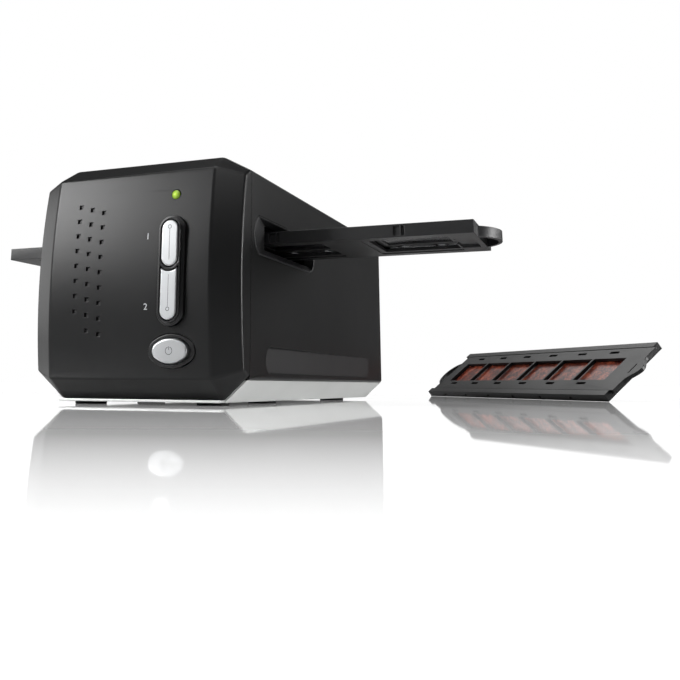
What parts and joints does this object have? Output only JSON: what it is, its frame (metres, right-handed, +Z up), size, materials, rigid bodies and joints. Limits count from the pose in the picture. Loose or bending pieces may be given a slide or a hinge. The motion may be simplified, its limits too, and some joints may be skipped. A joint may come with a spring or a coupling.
{
  "type": "film negative scanner",
  "caption": "Black desktop film scanner with a silver base, a four-slide holder through its side slot and a strip holder for six negatives beside it.",
  "frame": {"origin": "on the desk under the middle of the scanner's body, at the plane of its feet", "axes": "+X towards the right side seen from the front, -Y out of the front with the buttons, +Z up; the film slot runs along X"},
  "size_m": [0.3599, 0.5153, 0.122],
  "materials": {
    "case_black": "satin, fine grain",
    "trim_black": "gloss",
    "case_silver": "satin silver",
    "button_silver": "satin silver-blue with bright edges",
    "rubber_black": "matte",
    "steel": "brushed",
    "bronze": "satin",
    "board": "satin",
    "cable": "satin",
    "diffuser_white": "satin",
    "light_pipe": "clear green",
    "mirror_glass": "polished",
    "lens_glass": "clear",
    "holder_black": "satin, fine grain",
    "film_brown": "satin, orange-brown"
  },
  "bodies": {
    "scanner": {"base_tray": "case_silver", "top_cover": "case_black", "front_bezel": "case_black", "rear_panel": "case_black", "slot_bezel_right": "trim_black", "slot_bezel_left": "trim_black", "flap_pin_right": "steel", "flap_pin_left": "steel", "film_gate": "case_black", "detent_spring": "steel", "lamp_housing": "case_black", "lamp_diffuser": "diffuser_white", "lamp_board": "board", "lamp_ribbon": "cable", "guide_rod_right": "steel", "guide_rod_left": "steel", "rod_block_front": "case_black", "rod_block_rear": "case_black", "drive_motor": "steel", "main_board": "board", "usb_socket": "steel", "dc_socket": "trim_black", "button_surround": "trim_black", "power_ring": "trim_black", "status_lens": "light_pipe", "button_board": "board", "switch_upper": "trim_black", "switch_lower": "trim_black", "switch_power": "trim_black", "button_ribbon": "cable", "case_screws": "steel", "foot_front_right": "rubber_black", "foot_front_left": "rubber_black", "foot_middle_right": "rubber_black", "foot_middle_left": "rubber_black", "foot_rear_right": "rubber_black", "foot_rear_left": "rubber_black"},
    "carriage": {"carriage_frame": "case_black", "carriage_mirror": "mirror_glass", "lens_barrel": "trim_black", "lens_glass": "lens_glass", "sensor_board": "board", "image_sensor": "trim_black", "drive_nut": "bronze", "rod_bush_right": "bronze", "rod_bush_left": "bronze"},
    "screw": {"lead_screw": "steel"},
    "upper_key": {"button_upper": "button_silver"},
    "lower_key": {"button_lower": "button_silver"},
    "power_key": {"power_button": "button_silver"},
    "slide_holder": {"slide_tray": "holder_black", "slide_springs": "steel"},
    "right_flap": {"dust_flap_right": "case_black"},
    "left_flap": {"dust_flap_left": "case_black"},
    "strip_holder": {"strip_base": "holder_black", "strip_film": "film_brown", "strip_pin": "steel"},
    "strip_lid": {"strip_cover": "holder_black"}
  },
  "joints": [
    {"name": "carriage_slide", "type": "slide", "parent": "scanner", "child": "carriage", "axis": [0, 1, 0], "range_m": [-0.015, 0.015]},
    {"name": "screw_turn", "type": "hinge", "parent": "scanner", "child": "screw", "pos_m": [0, 0, 0.024], "axis": [0, 1, 0], "range_deg": [-905, 905]},
    {"name": "upper_press", "type": "slide", "parent": "scanner", "child": "upper_key", "axis": [0, 1, 0], "range_m": [0, 0.001], "stiffness_N_per_m": 800},
    {"name": "lower_press", "type": "slide", "parent": "scanner", "child": "lower_key", "axis": [0, 1, 0], "range_m": [0, 0.001], "stiffness_N_per_m": 800},
    {"name": "power_press", "type": "slide", "parent": "scanner", "child": "power_key", "axis": [0, 1, 0], "range_m": [0, 0.001], "stiffness_N_per_m": 800},
    {"name": "holder_slide", "type": "slide", "parent": "scanner", "child": "slide_holder", "axis": [1, 0, 0], "range_m": [-0.126, 0.072]},
    {"name": "right_flap_lift", "type": "hinge", "parent": "scanner", "child": "right_flap", "pos_m": [0.0495, -0.054, 0.0931], "axis": [0, 1, 0], "range_deg": [0, 25]},
    {"name": "left_flap_lift", "type": "hinge", "parent": "scanner", "child": "left_flap", "pos_m": [-0.0495, -0.054, 0.0931], "axis": [0, -1, 0], "range_deg": [0, 25]},
    {"name": "strip_lift", "type": "slide", "parent": "scanner", "child": "strip_holder", "axis": [0, 0, 1], "range_m": [0, 0.15]},
    {"name": "strip_lid_hinge", "type": "hinge", "parent": "strip_holder", "child": "strip_lid", "pos_m": [0.07042, 0.35894, 0.02155], "axis": [-0.6226, -0.49, -0.6101], "range_deg": [0, 100]}
  ],
  "couplings": [
    {"joint": "screw_turn", "follows": "carriage_slide", "rad_per_m": 1047.2}
  ]
}
